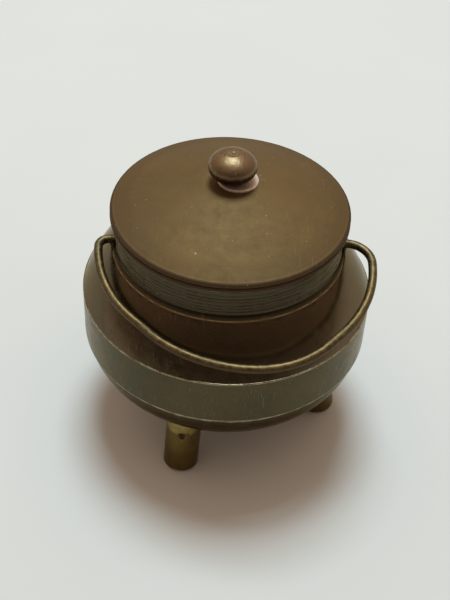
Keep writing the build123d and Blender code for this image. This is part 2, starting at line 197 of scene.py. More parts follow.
def mesh_of(name, vertices, faces, wear_and_painted_light):
    """A mesh with outward faces and, at each vertex, its value for bright edges, painted highlights and
    painted shade.
    """
    mesh = bpy.data.meshes.new(name)
    mesh.from_pydata([Vector(v) * MM for v in vertices], [], faces)
    attribute = mesh.attributes.new("wear_and_painted_light", "FLOAT", "POINT")
    attribute.data.foreach_set("value", wear_and_painted_light)
    work = bmesh.new()
    work.from_mesh(mesh)
    bmesh.ops.remove_doubles(work, verts=work.verts, dist=1e-7)
    bmesh.ops.recalc_face_normals(work, faces=work.faces)
    work.to_mesh(mesh)
    work.free()
    return mesh


def place_at(radius, angle, height):
    """The point at a radius, an angle and a height."""
    return radius * math.cos(angle), radius * math.sin(angle), height


def rippled(place, size):
    """A smooth random number from -1 to 1 that changes over about size mm."""
    return noise.noise(Vector(place) / size)


def turned_faces(sides, count):
    """Faces over closed outlines of count points that stand round an axis, one after another."""
    faces = []
    for turn in range(sides):
        other = (turn + 1) % sides
        for index in range(count):
            after = (index + 1) % count
            faces.append((turn * count + index, other * count + index,
                          other * count + after, turn * count + after))
    return faces


def tube_faces(rings, sides):
    """Faces over rings of points that follow one another along a tube, open at both ends."""
    faces = []
    for ring in range(rings - 1):
        for index in range(sides):
            after = (index + 1) % sides
            faces.append((ring * sides + index, ring * sides + after,
                          (ring + 1) * sides + after, (ring + 1) * sides + index))
    return faces


def lathe(name, outline, sides, shape=None):
    """Turns a closed outline round the axis. shape moves a point a little: (radius, angle, height)."""
    vertices, wear_and_painted_light = [], []
    for turn in range(sides):
        angle = 2 * math.pi * turn / sides
        across, along = math.cos(angle), math.sin(angle)
        for radius, height, worn_and_painted_light in outline:
            if shape and radius > 0:
                radius, height = shape(radius, angle, height)
            vertices.append((radius * across, radius * along, height))
            wear_and_painted_light.append(worn_and_painted_light)
    return mesh_of(name, vertices, turned_faces(sides, len(outline)), wear_and_painted_light)


# ---------------------------------------------------------------- materials, in metres and per metre
GRAIN_SCALE, SPECK_SCALE, PIT_SCALE = 3200.0, 1150.0, 780.0
PIT_DEPTH, SCRATCH_DEPTH = 0.00009, 0.00002
RING_WAVER, ZONE_WAVER, ZONE_FADE = 0.0004, 0.0006, 0.0012


def add(tree, kind, **settings):
    """A node with its properties set."""
    made = tree.nodes.new(kind)
    for key, value in settings.items():
        setattr(made, key, value)
    return made


def put(tree, socket, value):
    """Links a socket, or sets a plain value."""
    if isinstance(value, bpy.types.NodeSocket):
        tree.links.new(value, socket)
    else:
        socket.default_value = value


def math_node(tree, operation, first, second=0.0, clamp=False):
    """One step of arithmetic."""
    made = add(tree, "ShaderNodeMath", operation=operation, use_clamp=clamp)
    for socket, value in zip(made.inputs, (first, second)):
        put(tree, socket, value)
    return made.outputs[0]


def plus(tree, first, second):
    """The sum of two numbers."""
    return math_node(tree, "ADD", first, second)


def times(tree, first, second):
    """The product of two numbers."""
    return math_node(tree, "MULTIPLY", first, second)


def minus(tree, first, second):
    """The difference of two numbers."""
    return math_node(tree, "SUBTRACT", first, second)


def noise_node(tree, vector, scale, detail=4.0, roughness=0.55, distortion=0.0):
    """Fractal noise, 0 to 1."""
    made = add(tree, "ShaderNodeTexNoise", noise_dimensions="3D")
    put(tree, made.inputs["Vector"], vector)
    put(tree, made.inputs["Scale"], scale)
    put(tree, made.inputs["Detail"], detail)
    put(tree, made.inputs["Roughness"], roughness)
    put(tree, made.inputs["Distortion"], distortion)
    return made.outputs["Fac"]


def between(tree, value, low, high, to_low=0.0, to_high=1.0):
    """Maps value from low..high to to_low..to_high, held at its ends."""
    made = add(tree, "ShaderNodeMapRange", clamp=True, interpolation_type="SMOOTHSTEP")
    for socket, number in zip(made.inputs, (value, low, high, to_low, to_high)):
        put(tree, socket, number)
    return made.outputs[0]


def mixed(tree, share, first, second):
    """Mixes two colours."""
    made = add(tree, "ShaderNodeMix", data_type="RGBA")
    put(tree, made.inputs["Factor"], share)
    put(tree, made.inputs[6], first if isinstance(first, bpy.types.NodeSocket) else (*first, 1))
    put(tree, made.inputs[7], second if isinstance(second, bpy.types.NodeSocket) else (*second, 1))
    return made.outputs[2]


def vector_of(tree, x, y, z):
    """A vector from three numbers."""
    made = add(tree, "ShaderNodeCombineXYZ")
    for socket, value in zip(made.inputs, (x, y, z)):
        put(tree, socket, value)
    return made.outputs[0]


def scratches(tree, where, turn, pitch, length, share):
    """Fine straight scratches that run in one direction, here and there."""
    turned = add(tree, "ShaderNodeMapping", vector_type="POINT")
    put(tree, turned.inputs["Vector"], where)
    turned.inputs["Rotation"].default_value = (0.3, 0.2, math.radians(turn))
    turned.inputs["Scale"].default_value = (1 / pitch, 1 / length, 1 / length)
    lines = noise_node(tree, turned.outputs[0], 1.0, 2.0, 0.5)
    patches = noise_node(tree, where, 1 / (length * 1.3), 2.0, 0.5)
    fine = between(tree, lines, 0.72 - share, 0.78 - share)
    return math_node(tree, "MULTIPLY", fine, between(tree, patches, 0.52, 0.62))


def mottled_colour(tree, look, z, broad, middle):
    """The metal's own tones, its patches of patina and its bands by height, some of another tint and some
    painted shade.
    """
    colour = mixed(tree, broad, look["base"], look["tone"])
    patches = between(tree, plus(tree, times(tree, middle, 0.7), times(tree, broad, 0.3)),
                      0.62 - look["patina_share"], 0.78 - look["patina_share"])
    patches = times(tree, patches, look["patina_strength"])
    colour = mixed(tree, patches, colour, look["patina"])
    for low, high, tint, share in look["zones"]:
        blur = plus(tree, z, between(tree, middle, 0.3, 0.7, -ZONE_WAVER, ZONE_WAVER))
        inside = times(tree, between(tree, blur, low, low + ZONE_FADE),
                       between(tree, blur, high, high + ZONE_FADE, 1.0, 0.0))
        colour = mixed(tree, times(tree, inside, share), colour, tint)
    return colour, patches


def crossed_scratches(tree, where, share):
    """Scratches in three directions: the strongest at each place."""
    cuts = math_node(tree, "MAXIMUM", scratches(tree, where, 25, 0.00011, 0.006, share),
                     scratches(tree, where, -50, 0.00009, 0.005, share))
    return math_node(tree, "MAXIMUM", cuts, scratches(tree, where, 80, 0.0001, 0.007, share))


def aged_metal(name, look):
    """Old brass: mottled tone, patina in patches, turning marks, scratches, specks, pits, bright edges, and
    painted highlights and painted shade set per vertex.
    """
    material = bpy.data.materials.new(name)
    material.use_nodes = True
    tree = material.node_tree
    tree.nodes.clear()
    where = add(tree, "ShaderNodeTexCoord").outputs["Object"]
    parts = add(tree, "ShaderNodeSeparateXYZ")
    put(tree, parts.inputs[0], where)
    x, y, z = parts.outputs
    radius = math_node(tree, "SQRT", plus(tree, times(tree, x, x), times(tree, y, y)))
    waver = times(tree, noise_node(tree, where, 40.0, 2.0), RING_WAVER)
    turned = vector_of(tree, plus(tree, radius, waver), 0.0, z)

    broad = between(tree, noise_node(tree, where, look["broad"], 5.0, 0.6, 0.4), 0.34, 0.66)
    middle = noise_node(tree, where, look["broad"] * 5.5, 6.0, 0.62, 0.3)
    fine = noise_node(tree, where, GRAIN_SCALE, 3.0, 0.6)
    rings = noise_node(tree, turned, look["ring_scale"], 3.0, 0.7)
    marks = between(tree, rings, 0.36, 0.64)

    colour, patches = mottled_colour(tree, look, z, broad, middle)
    grain = between(tree, fine, 0.3, 0.7, 1 - look["grain"], 1 + look["grain"])
    ringed = between(tree, marks, 0.0, 1.0, 1 - look["rings"], 1 + look["rings"])
    shade = add(tree, "ShaderNodeVectorMath", operation="SCALE")
    put(tree, shade.inputs[0], colour)
    put(tree, shade.inputs["Scale"], times(tree, grain, ringed))
    colour = shade.outputs[0]

    cuts = crossed_scratches(tree, where, look["scratches"])
    specks = noise_node(tree, where, SPECK_SCALE, 2.0, 0.4)
    specks = between(tree, specks, look["specks"], look["specks"] + 0.02)
    pits = noise_node(tree, where, PIT_SCALE, 3.0, 0.5, 0.3)
    pits = between(tree, pits, look["pits"], look["pits"] + 0.04)
    colour = mixed(tree, times(tree, pits, 0.75), colour, look["pit"])
    bare_and_highlight = math_node(tree, "MAXIMUM", times(tree, cuts, 0.6), times(tree, specks, 0.85))
    # The per-vertex value: above zero brightens edges and, on some parts, gives painted highlights; below
    # zero gives painted shade in corners and under things, and a few dark marks.
    worn_and_painted_light = add(tree, "ShaderNodeAttribute", attribute_name="wear_and_painted_light").outputs["Fac"]
    edge = times(tree, between(tree, worn_and_painted_light, 0.15, 0.95), between(tree, middle, 0.36, 0.6, 0.25, 1.0))
    edge = times(tree, edge, look["wear_and_painted_light"])
    bare_and_highlight = math_node(tree, "MAXIMUM", bare_and_highlight, edge)
    # Painted shade, and a few dark marks, from the values below zero.
    grime_and_painted_shade = between(tree, times(tree, worn_and_painted_light, -1.0), 0.2, 0.9)
    colour = mixed(tree, times(tree, grime_and_painted_shade, 0.8), colour, look["grime_and_painted_shade"])
    colour = mixed(tree, bare_and_highlight, colour, look["bare_and_highlight"])

    rough = between(tree, middle, 0.3, 0.7, -look["swing"], look["swing"])
    rough = plus(tree, look["roughness"], rough)
    rough = plus(tree, rough, times(tree, patches, look["patina_rough"]))
    rough = plus(tree, rough, between(tree, marks, 0.0, 1.0, -look["rings"], look["rings"]))
    rough = math_node(tree, "SUBTRACT", rough, times(tree, edge, 0.08), clamp=True)

    height = times(tree, middle, look["lump"])
    height = plus(tree, height, times(tree, rings, look["ring_depth"]))
    height = plus(tree, height, times(tree, fine, look["fine_depth"]))
    height = minus(tree, height, times(tree, pits, PIT_DEPTH))
    height = minus(tree, height, times(tree, cuts, SCRATCH_DEPTH))
    bump = add(tree, "ShaderNodeBump")
    bump.inputs["Strength"].default_value = look["bump"]
    bump.inputs["Distance"].default_value = 1.0
    put(tree, bump.inputs["Height"], height)

    surface = add(tree, "ShaderNodeBsdfPrincipled")
    dulled = times(tree, patches, look["patina_dull"])
    put(tree, surface.inputs["Base Color"], colour)
    put(tree, surface.inputs["Metallic"],
        math_node(tree, "SUBTRACT", look["metallic"], dulled, clamp=True))
    put(tree, surface.inputs["Roughness"], rough)
    put(tree, surface.inputs["Normal"], bump.outputs[0])
    surface.inputs["Specular Tint"].default_value = (*look["edge_tint"], 1)
    surface.inputs["Coat Weight"].default_value = look["coat"]
    surface.inputs["Coat Roughness"].default_value = look["coat_rough"]
    output = add(tree, "ShaderNodeOutputMaterial")
    tree.links.new(surface.outputs[0], output.inputs[0])
    return material


# What the looks share. A zone is (lowest, highest, tint, share), its heights in metres; some zones are
# painted shade.
PLAIN = {
    "broad": 55.0, "patina_rough": 0.12, "patina_dull": 0.3,
    "zones": (), "grime_and_painted_shade": (0.04, 0.025, 0.012), "pit": (0.03, 0.018, 0.008),
    "bare_and_highlight": (0.5, 0.37, 0.2), "wear_and_painted_light": 0.35,
    "grain": 0.06, "rings": 0.03, "ring_scale": 2400.0, "ring_depth": 0.00001,
    "scratches": 0.04, "specks": 0.77, "pits": 0.76, "lump": 0.0001, "fine_depth": 0.000006,
    "edge_tint": (1.0, 1.0, 1.0), "bump": 0.5, "swing": 0.06,
    "metallic": 0.95, "coat": 0.0, "coat_rough": 0.2,
}
SATIN = {
    **PLAIN, "base": (0.190, 0.117, 0.044), "tone": (0.162, 0.103, 0.042),
    "patina": (0.185, 0.108, 0.052), "patina_share": 0.03, "patina_strength": 0.3,
    "grime_and_painted_shade": (0.058, 0.031, 0.015), "roughness": 0.66, "swing": 0.03, "wear_and_painted_light": 0.0,
    "pits": 0.77, "specks": 0.755, "rings": 0.006, "ring_depth": 0.0000006, "scratches": 0.013,
    "metallic": 0.75, "lump": 0.00007,
    # Painted shade, darker and redder, on the lid's side and rolled edge.
    "zones": ((0.060, 0.0738, (0.135, 0.082, 0.034), 0.55),),
}
SATIN_BRONZE = aged_metal("satin_bronze", SATIN)
KNOB_BRONZE = aged_metal("satin_bronze_knob", {
    **SATIN, "base": (0.245, 0.165, 0.088), "tone": (0.20, 0.135, 0.070), "broad": 150.0,
    "patina": (0.16, 0.095, 0.045), "patina_share": 0.06, "patina_strength": 0.45,
    "roughness": 0.39, "pits": 0.67, "specks": 0.73, "metallic": 0.92, "lump": 0.00018,
    # Painted shade and painted dark reflection on the knob's lower part.
    "zones": ((0.070, 0.0850, (0.060, 0.031, 0.014), 0.93),),
})
DARK_BRONZE = aged_metal("dark_bronze", {
    **PLAIN, "base": (0.138, 0.092, 0.050), "tone": (0.115, 0.082, 0.046),
    "patina": (0.085, 0.070, 0.036), "patina_share": 0.06, "patina_strength": 0.5,
    "zones": ((0.0592, 0.0692, (0.046, 0.041, 0.022), 0.88),
              # Painted shade on the bowl below the seam.
              (0.0, 0.0305, (0.040, 0.027, 0.013), 0.9)),
    "roughness": 0.20, "swing": 0.04, "wear_and_painted_light": 0.75, "bare_and_highlight": (0.50, 0.38, 0.22),
    "rings": 0.01, "ring_depth": 0.000003, "lump": 0.00005, "grain": 0.04,
    "scratches": 0.03, "specks": 0.78, "metallic": 0.82, "coat": 0.12, "coat_rough": 0.16,
    "edge_tint": (0.62, 0.56, 0.42),
})
GREEN_PATINA = aged_metal("green_patina", {
    **PLAIN, "base": (0.084, 0.062, 0.028), "tone": (0.062, 0.050, 0.025),
    "patina": (0.048, 0.054, 0.030), "patina_share": 0.05, "patina_strength": 0.6,
    "roughness": 0.28, "swing": 0.05, "wear_and_painted_light": 0.8, "bare_and_highlight": (0.50, 0.41, 0.26), "metallic": 0.92,
    "rings": 0.015, "ring_depth": 0.000004, "lump": 0.00005, "coat": 0.13, "coat_rough": 0.16,
    "edge_tint": (0.85, 0.80, 0.68),
})
FOOT_BRASS = aged_metal("foot_brass", {
    **PLAIN, "base": (0.175, 0.122, 0.036), "tone": (0.135, 0.092, 0.028),
    "patina": (0.09, 0.055, 0.022), "patina_share": 0.1, "patina_strength": 0.6,
    "zones": ((0.0140, 0.030, (0.34, 0.26, 0.090), 0.9), (-0.01, 0.007, (0.135, 0.090, 0.026), 0.7)),
    "roughness": 0.4, "wear_and_painted_light": 0.2, "pits": 0.72, "broad": 120.0,
})
WIRE_BRASS = aged_metal("wire_brass", {
    **PLAIN, "base": (0.130, 0.086, 0.035), "tone": (0.088, 0.060, 0.026),
    "patina": (0.075, 0.062, 0.028), "patina_share": 0.12, "patina_strength": 0.7,
    "bare_and_highlight": (0.27, 0.19, 0.09), "wear_and_painted_light": 0.6, "roughness": 0.48, "pits": 0.68,
    "zones": ((0.045, 0.0552, (0.078, 0.048, 0.022), 0.7),
              (0.0586, 0.064, (0.056, 0.050, 0.024), 0.7)), "broad": 150.0,
})
# Pink brass made pale and bright as a painted sheen, so the washer shows light in the knob's shadow.
PINK_BRASS_PAINTED_SHEEN = aged_metal("pink_brass", {
    **PLAIN, "base": (0.78, 0.62, 0.52), "tone": (0.66, 0.50, 0.40),
    "patina": (0.3, 0.2, 0.14), "patina_share": 0.04, "patina_strength": 0.5,
    "bare_and_highlight": (0.95, 0.84, 0.76), "wear_and_painted_light": 0.9, "roughness": 0.40, "pits": 0.76, "broad": 200.0,
    "metallic": 0.35,
})


# ---------------------------------------------------------------- pot
def neck_outside():
    """The neck from its lip down to the flare, with the fine rings that the turning tool left."""
    points = []
    bottom, top = FLARE_TOP, RIM - LIP_HEIGHT - LIP_SLOPE
    steps = 110
    for step in range(steps + 1):
        height = top + (bottom - top) * step / steps
        stand = 0.0
        for ring, size in zip(RING_HEIGHTS, RING_STANDS):
            stand += size * math.exp(-((height - ring) / RING_WIDTH) ** 2)
            groove = math.exp(-((height - ring + GROOVE_DROP) / GROOVE_WIDTH) ** 2)
            stand -= GROOVE_SHARE * size * groove
        # Painted highlights on the raised rings and painted shade in the grooves beside them.
        worn_and_painted_light = min(1.0, max(-1.0, stand * 6.5))
        points.append((NECK_RADIUS + stand - 0.02, height, worn_and_painted_light))
    return points


def neck_shoulder():
    """Neck, flare, shoulder and the skirt inside the band, with the bores that hold the bail."""
    slope = math.hypot(SHOULDER_RADIUS - ROOT_RADIUS, BAND_TOP - NECK_ROOT)
    along = (SHOULDER_RADIUS - ROOT_RADIUS) / slope
    down = (NECK_ROOT - BAND_TOP) / slope
    inner_radius = ROOT_RADIUS - SHELL_WALL * down
    inner_height = NECK_ROOT - SHELL_WALL * along
    bore_end = inner_height + (inner_radius - NECK_BORE) * down / along
    skirt_end = inner_height - (SKIRT_BORE - inner_radius) * down / along
    skirt_foot = BAND_TOP - SKIRT_HEIGHT
    lip_foot = RIM - LIP_HEIGHT - LIP_SLOPE
    lip = softened([(NECK_BORE, RIM), (LIP_RADIUS, RIM), (LIP_RADIUS, RIM - LIP_HEIGHT),
                    (NECK_RADIUS, lip_foot), (NECK_BORE, lip_foot)], 0.2)
    lip = [point for point in lip if point[1] > lip_foot + 0.02 and point[0] > NECK_BORE + 0.3]
    flare = bowed((NECK_RADIUS, FLARE_TOP), (ROOT_RADIUS, NECK_ROOT), -0.15, 8)
    flare = [(r, h, 0.0) for r, h in flare]
    # Painted highlight along the flare's lower end, where it meets the shoulder.
    flare[-2:] = [(r, h, worn_and_painted_light) for (r, h, _), worn_and_painted_light in zip(flare[-2:], (0.2, 0.9))]
    dome = [(r, h, 0.0) for r, h in bowed((ROOT_RADIUS, NECK_ROOT), (SHOULDER_RADIUS, BAND_TOP),
                                          SHOULDER_BULGE, 60)]
    inner = softened([(SHOULDER_RADIUS, BAND_TOP), (SKIRT_RADIUS, BAND_TOP), (SKIRT_RADIUS, skirt_foot),
                      (SKIRT_BORE, skirt_foot), (SKIRT_BORE, skirt_end),
                      *divided((SKIRT_BORE, skirt_end), (NECK_BORE, bore_end), 0.7),
                      (NECK_BORE, bore_end), *divided((NECK_BORE, bore_end), (NECK_BORE, RIM), 0.5),
                      (NECK_BORE, RIM), (SHOULDER_RADIUS, RIM)], 0.15)
    inner = [point for point in inner if point[0] < SHOULDER_RADIUS - 0.5]
    outline = lip + neck_outside() + flare[1:] + dome[2:] + inner
    outline = without_repeats(outline)

    def shape(radius, angle, height):
        """Hand-finishing: a few hundredths of a millimetre, none on the faces that meet others."""
        if height > RIM - 0.3 or height < BAND_TOP + 0.3 or radius < NECK_RADIUS - 0.5:
            return radius, height
        place = place_at(radius, angle, height)
        return radius + 0.03 * rippled(place, 9.0) + 0.012 * rippled(place, 2.5), height

    mesh = lathe("neck_shoulder", outline, 288, shape)
    mesh = bored(mesh)
    return finished("neck_shoulder", mesh, "pot", "dark_bronze", DARK_BRONZE, "neck_shoulder")


def bored(mesh):
    """The neck's mesh with a bore on each side, along X, for the bail's ends."""
    solid = bpy.data.objects.new("neck_work", mesh)
    bpy.context.scene.collection.objects.link(solid)
    work = bmesh.new()
    turn = Matrix.Translation((0, 0, PIVOT_HEIGHT * MM)) @ Matrix.Rotation(math.pi / 2, 4, "Y")
    bmesh.ops.create_cone(work, cap_ends=True, segments=48, radius1=PIVOT_BORE * MM,
                          radius2=PIVOT_BORE * MM, depth=2 * (ROOT_RADIUS + 3) * MM, matrix=turn)
    drill_mesh = bpy.data.meshes.new("drill")
    work.to_mesh(drill_mesh)
    work.free()
    drill = bpy.data.objects.new("drill", drill_mesh)
    bpy.context.scene.collection.objects.link(drill)
    cut = solid.modifiers.new("bores", "BOOLEAN")
    cut.operation = "DIFFERENCE"
    cut.solver = "EXACT"
    cut.object = drill
    bpy.context.view_layer.update()
    cut_solid = solid.evaluated_get(bpy.context.evaluated_depsgraph_get())
    result = bpy.data.meshes.new_from_object(cut_solid)
    result.name = "neck_shoulder"
    bpy.data.objects.remove(solid)
    bpy.data.objects.remove(drill)
    return result


def seam_highlight_and_shade(radius, height, worn_and_painted_light):
    """Painted highlight just above the band's lower bevel and painted shade on the bevel itself."""
    if radius < BELLY_RADIUS - 1 or height > SEAM + SEAM_HIGHLIGHT_TO:
        return worn_and_painted_light
    return 1.0 if height > SEAM + SEAM_HIGHLIGHT_FROM else -1.0


def belly_band():
    """The plain ring round the belly, its edges bevelled and brightened, with a painted highlight just above
    its lower bevel, painted shade on that bevel and one nick below.
    """
    low, high = (BELLY_RADIUS, SEAM + BAND_LOWER_BEVEL), (BELLY_RADIUS, BAND_TOP - BAND_UPPER_BEVEL)
    outline = softened([
        (BAND_BORE, SEAM), (BELLY_RADIUS - BAND_LOWER_BEVEL, SEAM), low,
        (BELLY_RADIUS, SEAM + 0.55), *divided(low, high, 0.4), high,
        (BELLY_RADIUS - BAND_UPPER_BEVEL, BAND_TOP), (BAND_BORE, BAND_TOP)], 0.12)
    # Painted highlight just above the lower bevel, painted shade on the bevel.
    outline = [(r, h, seam_highlight_and_shade(r, h, worn_and_painted_light)) for r, h, worn_and_painted_light in outline]

    def shape(radius, angle, height):
        """Slight waves, shallow dents and the nick."""
        if radius < BELLY_RADIUS - 1:
            return radius, height
        place = place_at(radius, angle, height)
        radius -= 0.035 * (1 + rippled(place, 8.0)) / 2 + 0.02 * max(0.0, rippled(place, 2.0))
        if height < SEAM + 1.0:
            away = math.hypot((angle - 2 * math.pi - NICK_ANGLE) * BELLY_RADIUS, height - SEAM)
            radius -= NICK_DEPTH * math.exp(-(away / NICK_SIZE) ** 2)
        return radius, height

    mesh = lathe("belly_band", outline, 384, shape)
    return finished("belly_band", mesh, "pot", "green_patina", GREEN_PATINA, "belly_band")


def lower_bowl():
    """The round bottom with its groove at the seam, hollow, with the skirt inside the band."""
    outer = bowl_curve(BOWL_RADIUS, BOWL_DEPTH, BOWL_SIDE, 44)
    inner = bowl_curve(SKIRT_BORE, BOWL_DEPTH - SHELL_WALL, BOWL_SIDE - SHELL_WALL, 44)
    outer = [(r, SEAM + h) for r, h in outer if h < -0.75]
    inner = [(r, SEAM + h) for r, h in inner]
    edge = [(SKIRT_BORE, SEAM + SKIRT_HEIGHT), (SKIRT_RADIUS, SEAM + SKIRT_HEIGHT),
            (SKIRT_RADIUS, SEAM), (BOWL_RADIUS - 0.45, SEAM), (BOWL_RADIUS - 0.05, SEAM - 0.55)]
    # The skirt's top is put in with sharp corners, in place of the first six softened points.
    outline = [(*edge[0], 0.0), (*edge[1], 0.0)] + softened(edge + outer[:-1], 0.12)[6:]
    outline += [(0.0, outer[-1][1], 0.0), (0.0, inner[-1][1], 0.0)]
    outline += [(r, h, 0.0) for r, h in reversed(inner[:-1])]

    def shape(radius, angle, height):
        """A little unevenness in the turned wall."""
        place = place_at(radius, angle, height)
        if height > SEAM - 1 or radius < 2:
            return radius, height
        return radius - 0.02 * (1 + rippled(place, 7.0)), height

    mesh = lathe("lower_bowl", outline, 256, shape)
    return finished("lower_bowl", mesh, "pot", "dark_bronze", DARK_BRONZE, "lower_bowl")


# ---------------------------------------------------------------- lid
def lid_plate():
    """The domed lid with its rolled edge, the flat for the knob and the hollow underneath."""
    dome_edge = (LID_RADIUS - LID_EDGE_ROUND, LID_EDGE_TOP)
    dome = bowed((SEAT_RADIUS, LID_TOP), dome_edge, LID_BULGE, 80)
    rounded = []
    for step in range(1, 9):
        turn = math.pi / 2 * step / 8
        rounded.append((LID_RADIUS - LID_EDGE_ROUND * (1 - math.sin(turn)),
                        LID_EDGE_TOP - LID_EDGE_ROUND * (1 - math.cos(turn))))
    top = [(RIVET_BORE, LID_TOP), *divided((RIVET_BORE, LID_TOP), (SEAT_RADIUS, LID_TOP), 0.5)]
    under = softened([
        (LID_RADIUS, RIM + 1.0), (LID_RADIUS, RIM), (LID_HOLLOW_RADIUS, RIM),
        (LID_HOLLOW_RADIUS - 0.5, RIM + 3.0),
        *reversed(bowed((SEAT_RADIUS, LID_HOLLOW_TOP), (LID_HOLLOW_RADIUS - 0.5, RIM + 3.0),
                        LID_BULGE, 30)[:-1]),
        (RIVET_BORE, LID_HOLLOW_TOP), (RIVET_BORE, LID_TOP)], 0.35)
    # Painted shade on the rolled edge and on the lid's side.
    outline = [(r, h, 0.0) for r, h in top + dome] + [(r, h, -0.65) for r, h in rounded]
    outline += [(r, h, -0.8 if r > LID_RADIUS - 0.6 else worn_and_painted_light) for r, h, worn_and_painted_light in under[:-4]
                if h < LID_TOP - 1]
    outline = without_repeats(outline)

    def shape(radius, angle, height):
        """A slight wave and small dings round the edge."""
        if height < RIM + 0.5 or radius < SEAT_RADIUS + 0.1:
            return radius, height
        place = place_at(radius, angle, height)
        height += 0.012 * rippled(place, 10.0)
        if radius > LID_RADIUS - 1.5:
            radius -= 0.03 + 0.05 * max(0.0, rippled(place, 1.6)) + 0.02 * rippled(place, 6.0)
        return radius, height

    mesh = lathe("lid_plate", outline, 360, shape)
    return finished("lid_plate", mesh, "lid", "satin_bronze", SATIN_BRONZE, "lid_plate")


def lid_locating_ring():
    """The ring under the lid, its lower edges rounded."""
    outline = softened([
        (RING_BORE, RIM), (RING_BORE, RING_FOOT), (RING_RADIUS - 0.4, RING_FOOT),
        (RING_RADIUS, RING_FOOT + 0.4),
        *divided((RING_RADIUS, RING_FOOT + 0.4), (RING_RADIUS, RIM), 0.4),
        (RING_RADIUS, RIM)], 0.15)

    def shape(radius, angle, height):
        """Fine rings from turning."""
        if height > RIM - 0.3 or height < RING_FOOT + 0.3:
            return radius, height
        return radius - 0.01 * (1 + math.sin(height * 9)), height

    mesh = lathe("lid_locating_ring", outline, 256, shape)
    return finished("lid_locating_ring", mesh, "lid", "satin_bronze", SATIN_BRONZE,
                    "lid_locating_ring")


def knob():
    """The flattened ball on its stem, with small dents."""
    half = (KNOB_TOP - KNOB_BASE + 0.1) / 2
    middle = KNOB_TOP - half
    ball = []
    for step in range(2, 62):
        turn = math.pi * step / 62
        height = middle + half * math.cos(turn)
        radius = KNOB_RADIUS * math.sin(turn)
        off_stem = height > STEM_TOP or radius > STEM_RADIUS + 0.2
        if radius > RIVET_TOP_RADIUS + 0.1 and off_stem and height > KNOB_BASE + 0.05:
            ball.append((radius, height, 0.0))
    seat = KNOB_TOP - 0.35
    head = RIVET_TOP_RADIUS + 0.05
    outline = [(RIVET_BORE, KNOB_BASE, 0.0), (RIVET_BORE, seat, 0.0), (head, seat, 0.0),
               (head, ball[0][1] + 0.03, 0.3)] + ball
    # Painted shade at the foot of the stem, under the ball.
    outline += [(STEM_RADIUS + 0.1, KNOB_BASE + 0.02, 0.0), (STEM_RADIUS, KNOB_BASE, -1.0)]

    def shape(radius, angle, height):
        """Small dents and a slight flattening, as on a knob that has been dropped and polished."""
        if radius < STEM_RADIUS + 0.3:
            return radius, height
        place = place_at(radius, angle, height)
        dent = 0.05 * max(0.0, rippled(place, 1.3) - 0.1) + 0.03 * (1 + rippled(place, 4.5)) / 2
        share = radius / KNOB_RADIUS
        return radius - dent * share, height - dent * (height - middle) / half * 0.6

    mesh = lathe("knob", outline, 160, shape)
    return finished("knob", mesh, "lid", "satin_bronze", KNOB_BRONZE, "knob")


def knob_collar():
    """The thin pink washer under the knob, made pale as a painted sheen, bored off centre, with a painted
    highlight on its hand-cut edge.
    """
    sides = 128
    turn = math.radians(COLLAR_DIRECTION)
    middle = (COLLAR_OFFSET * math.cos(turn), COLLAR_OFFSET * math.sin(turn))
    # Painted highlight round the edge.
    rows = [(0.0, LID_TOP, 0.0), (1.0, LID_TOP, 0.2), (1.0, KNOB_BASE - 0.36, 0.9),
            (0.985, KNOB_BASE - 0.2, 1.0), (0.95, KNOB_BASE - 0.05, 1.0), (0.9, KNOB_BASE, 0.6),
            (0.7, KNOB_BASE, 0.2), (0.4, KNOB_BASE, 0.0), (0.0, KNOB_BASE, 0.0)]
    vertices, wear_and_painted_light = [], []
    for index in range(sides):
        angle = 2 * math.pi * index / sides
        ragged = COLLAR_RADIUS - 0.07 * (1 + rippled((math.cos(angle), math.sin(angle), 0), 0.4))
        for share, height, worn_and_painted_light in rows:
            across = RIVET_BORE * math.cos(angle) * (1 - share)
            along = RIVET_BORE * math.sin(angle) * (1 - share)
            across += (middle[0] + ragged * math.cos(angle)) * share
            along += (middle[1] + ragged * math.sin(angle)) * share
            vertices.append((across, along, height))
            wear_and_painted_light.append(worn_and_painted_light)
    mesh = mesh_of("knob_collar", vertices, turned_faces(sides, len(rows)), wear_and_painted_light)
    return finished("knob_collar", mesh, "lid", "pink_brass", PINK_BRASS_PAINTED_SHEEN, "knob_collar")


def knob_rivet():
    """The rivet: a filed head in the knob's top with a punch mark, the shank and the closed foot."""
    top = [(RIVET_TOP_RADIUS * (1 - n / 8), KNOB_TOP - 0.06 + 0.05 * math.sin(n / 8 * math.pi / 2),
            0.6) for n in range(9)]
    top[-2] = (top[-2][0], KNOB_TOP - 0.12, -0.5)
    top[-1] = (0.0, KNOB_TOP - 0.2, -1.0)
    seat = KNOB_TOP - 0.34
    foot = [(RIVET_RADIUS, seat), (RIVET_RADIUS, BURR_BASE), (2.1, BURR_BASE),
            (2.1, BURR_BASE - 0.35), (1.8, BURR_BASE - 0.6), (1.2, BURR_BASE - 0.7),
            (0.0, BURR_BASE - 0.68)]
    outline = [(RIVET_TOP_RADIUS, seat, 0.0)] + top + [(r, h, 0.0) for r, h in reversed(foot)]
    mesh = lathe("knob_rivet", outline, 64)
    return finished("knob_rivet", mesh, "lid", "wire_brass", KNOB_BRONZE, "knob_rivet")


def knob_burr():
    """The washer under the lid that the rivet is closed over."""
    outline = softened([
        (RIVET_BORE, BURR_BASE), (BURR_RADIUS, BURR_BASE), (BURR_RADIUS, LID_HOLLOW_TOP),
        (RIVET_BORE, LID_HOLLOW_TOP)], 0.18)
    mesh = lathe("knob_burr", outline, 96)
    return finished("knob_burr", mesh, "lid", "wire_brass", WIRE_BRASS, "knob_burr")


